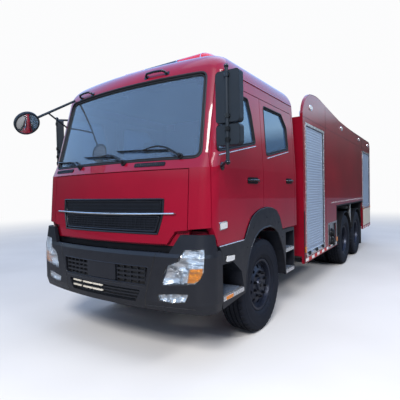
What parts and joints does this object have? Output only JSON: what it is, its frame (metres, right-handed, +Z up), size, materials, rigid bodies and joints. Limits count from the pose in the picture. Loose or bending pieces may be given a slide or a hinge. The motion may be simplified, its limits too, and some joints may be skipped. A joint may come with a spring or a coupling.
{
  "type": "six-wheel fire truck",
  "caption": "Fire truck with a four-door cab, red rear body with parapets, roller shutters, twin rear wheels, roof light bar, tank hatch and roof water cannon.",
  "frame": {"origin": "on the ground under the middle of the bounding box, on the truck centre plane", "axes": "+X to the left side of the truck, -Y to its front, +Z up"},
  "size_m": [3.08, 9.5887, 3.2847],
  "materials": {
    "red_paint": "gloss",
    "dark_plastic": "satin",
    "window_glass": "clear",
    "tyre_rubber": "matte",
    "rim_paint": "semi-gloss",
    "shutter_aluminium": "brushed",
    "frame_paint": "satin",
    "cast_steel": "matte",
    "seat_cloth": "woven",
    "dash_plastic": "grained",
    "lamp_lens": "clear",
    "red_lens": "gloss",
    "bare_aluminium": "satin",
    "mirror_black": "satin",
    "flap_rubber": "matte"
  },
  "bodies": {
    "chassis": {"cab_shell": "red_paint", "cab_roof": "red_paint", "windshield": "window_glass", "rear_window": "window_glass", "front_bumper": "dark_plastic", "headlamps": "lamp_lens", "arches_and_steps": "dark_plastic", "frame_rails": "frame_paint", "cross_members": "frame_paint", "front_axle": "cast_steel", "rear_bogie": "cast_steel", "engine": "cast_steel", "radiator": "bare_aluminium", "drive_shafts": "cast_steel", "fuel_tank": "bare_aluminium", "air_tanks": "frame_paint", "dashboard": "dash_plastic", "seats": "seat_cloth", "front_mirror": "mirror_black", "light_bar": "red_lens", "body_sides": "red_paint", "body_core": "red_paint", "body_deck": "red_paint", "body_floor": "frame_paint", "hose_inlets": "mirror_black", "roller_shutters": "shutter_aluminium", "rear_fenders": "flap_rubber", "rear_bumper": "dark_plastic", "rear_ladder": "bare_aluminium"},
    "front_wheel_left": {"front_tyre_left": "tyre_rubber", "front_rim_left": "rim_paint"},
    "front_wheel_right": {"front_tyre_right": "tyre_rubber", "front_rim_right": "rim_paint"},
    "knuckle_left": {"knuckle_left": "cast_steel"},
    "knuckle_right": {"knuckle_right": "cast_steel"},
    "tie_rod": {"tie_rod": "cast_steel"},
    "rear_wheels_1_left": {"rear_tyres_1_left": "tyre_rubber", "rear_rims_1_left": "rim_paint"},
    "rear_wheels_1_right": {"rear_tyres_1_right": "tyre_rubber", "rear_rims_1_right": "rim_paint"},
    "rear_wheels_2_left": {"rear_tyres_2_left": "tyre_rubber", "rear_rims_2_left": "rim_paint"},
    "rear_wheels_2_right": {"rear_tyres_2_right": "tyre_rubber", "rear_rims_2_right": "rim_paint"},
    "front_door_left": {"front_door_left": "red_paint", "front_door_glass_left": "window_glass", "mirror_left": "mirror_black"},
    "front_door_right": {"front_door_right": "red_paint", "front_door_glass_right": "window_glass", "mirror_right": "mirror_black"},
    "rear_door_left": {"rear_door_left": "red_paint", "rear_door_glass_left": "window_glass"},
    "rear_door_right": {"rear_door_right": "red_paint", "rear_door_glass_right": "window_glass"},
    "front_flap": {"front_flap": "red_paint", "grille": "dark_plastic"},
    "tank_hatch": {"tank_hatch": "bare_aluminium"},
    "cannon_turret": {"cannon_turret": "red_paint"},
    "cannon_barrel": {"cannon_barrel": "red_paint"}
  },
  "joints": [
    {"name": "steer_left", "type": "hinge", "parent": "chassis", "child": "knuckle_left", "pos_m": [0.85, -3.055, 0.54], "axis": [0, 0, 1], "range_deg": [-35, 35]},
    {"name": "front_wheel_spin_left", "type": "hinge", "parent": "knuckle_left", "child": "front_wheel_left", "pos_m": [1.024, -3.055, 0.54], "axis": [1, 0, 0], "continuous": true},
    {"name": "rear_wheels_1_spin_left", "type": "hinge", "parent": "chassis", "child": "rear_wheels_1_left", "pos_m": [0.898, 1.295, 0.54], "axis": [1, 0, 0], "continuous": true},
    {"name": "rear_wheels_2_spin_left", "type": "hinge", "parent": "chassis", "child": "rear_wheels_2_left", "pos_m": [0.898, 2.645, 0.54], "axis": [1, 0, 0], "continuous": true},
    {"name": "front_door_hinge_left", "type": "hinge", "parent": "chassis", "child": "front_door_left", "pos_m": [1.193, -4.226, 1.9], "axis": [0, 0, -1], "range_deg": [0, 65]},
    {"name": "rear_door_hinge_left", "type": "hinge", "parent": "chassis", "child": "rear_door_left", "pos_m": [1.226, -3.113, 1.9], "axis": [0, 0, -1], "range_deg": [0, 70]},
    {"name": "steer_right", "type": "hinge", "parent": "chassis", "child": "knuckle_right", "pos_m": [-0.85, -3.055, 0.54], "axis": [0, 0, 1], "range_deg": [-35, 35]},
    {"name": "front_wheel_spin_right", "type": "hinge", "parent": "knuckle_right", "child": "front_wheel_right", "pos_m": [-1.024, -3.055, 0.54], "axis": [1, 0, 0], "continuous": true},
    {"name": "rear_wheels_1_spin_right", "type": "hinge", "parent": "chassis", "child": "rear_wheels_1_right", "pos_m": [-0.898, 1.295, 0.54], "axis": [1, 0, 0], "continuous": true},
    {"name": "rear_wheels_2_spin_right", "type": "hinge", "parent": "chassis", "child": "rear_wheels_2_right", "pos_m": [-0.898, 2.645, 0.54], "axis": [1, 0, 0], "continuous": true},
    {"name": "front_door_hinge_right", "type": "hinge", "parent": "chassis", "child": "front_door_right", "pos_m": [-1.193, -4.226, 1.9], "axis": [0, 0, 1], "range_deg": [0, 65]},
    {"name": "rear_door_hinge_right", "type": "hinge", "parent": "chassis", "child": "rear_door_right", "pos_m": [-1.226, -3.113, 1.9], "axis": [0, 0, 1], "range_deg": [0, 70]},
    {"name": "tie_rod_pivot", "type": "hinge", "parent": "knuckle_left", "child": "tie_rod", "pos_m": [0.85, -2.865, 0.43], "axis": [0, 0, 1], "range_deg": [-35, 35]},
    {"name": "front_flap_hinge", "type": "hinge", "parent": "chassis", "child": "front_flap", "pos_m": [0, -4.38, 1.866], "axis": [-1, 0, 0], "range_deg": [0, 75]},
    {"name": "tank_hatch_hinge", "type": "hinge", "parent": "chassis", "child": "tank_hatch", "pos_m": [0, 2.19, 2.815], "axis": [-1, 0, 0], "range_deg": [0, 100]},
    {"name": "cannon_turn", "type": "hinge", "parent": "chassis", "child": "cannon_turret", "pos_m": [0, 3.895, 2.865], "axis": [0, 0, 1], "range_deg": [-170, 170]},
    {"name": "cannon_tilt", "type": "hinge", "parent": "cannon_turret", "child": "cannon_barrel", "pos_m": [0, 3.895, 3.015], "axis": [-1, 0, 0], "range_deg": [-14, 60]}
  ],
  "couplings": [
    {"joint": "steer_right", "follows": "steer_left", "ratio": 1},
    {"joint": "tie_rod_pivot", "follows": "steer_left", "ratio": -1}
  ]
}
